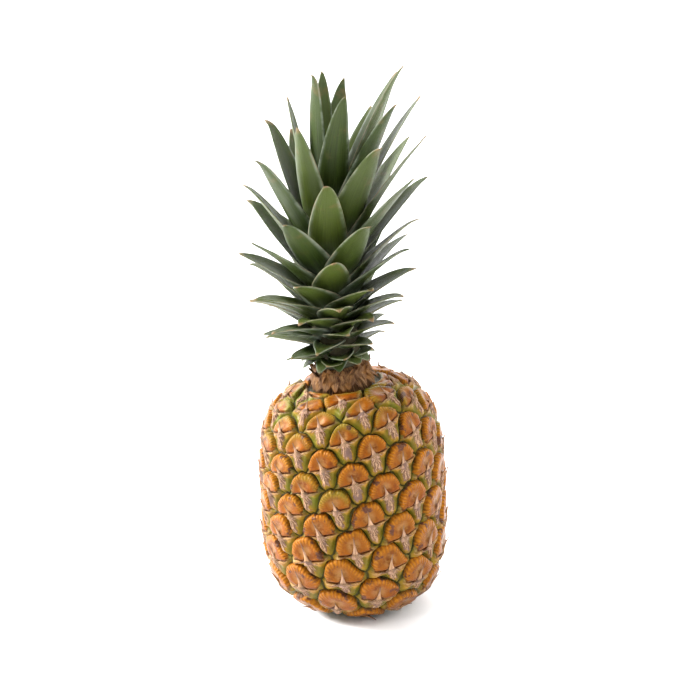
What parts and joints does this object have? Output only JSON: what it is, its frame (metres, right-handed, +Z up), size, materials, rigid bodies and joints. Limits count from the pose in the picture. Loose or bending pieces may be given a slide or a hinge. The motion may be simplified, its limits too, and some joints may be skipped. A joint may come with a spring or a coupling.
{
  "type": "pineapple",
  "caption": "Whole ripe pineapple standing on its flat base, with a skin of spiralling eyes, a collar of dry bracts at the neck and a tall leafy crown.",
  "frame": {"origin": "centre of the small flat face that the fruit rests on", "axes": "+Z up from the base to the crown, -Y towards the side that faces the camera in the picture, +X to that camera's right"},
  "size_m": [0.1271, 0.1171, 0.3427],
  "materials": {
    "rind": "waxy ripe pineapple rind, orange fans and yellow-green bracts",
    "dry_bract": "dry, papery, tan",
    "leaf": "leathery leaf with a satin sheen and a pale bloom"
  },
  "bodies": {
    "root": {"fruit": "rind", "dry_collar": "dry_bract", "crown": "leaf"}
  },
  "joints": []
}
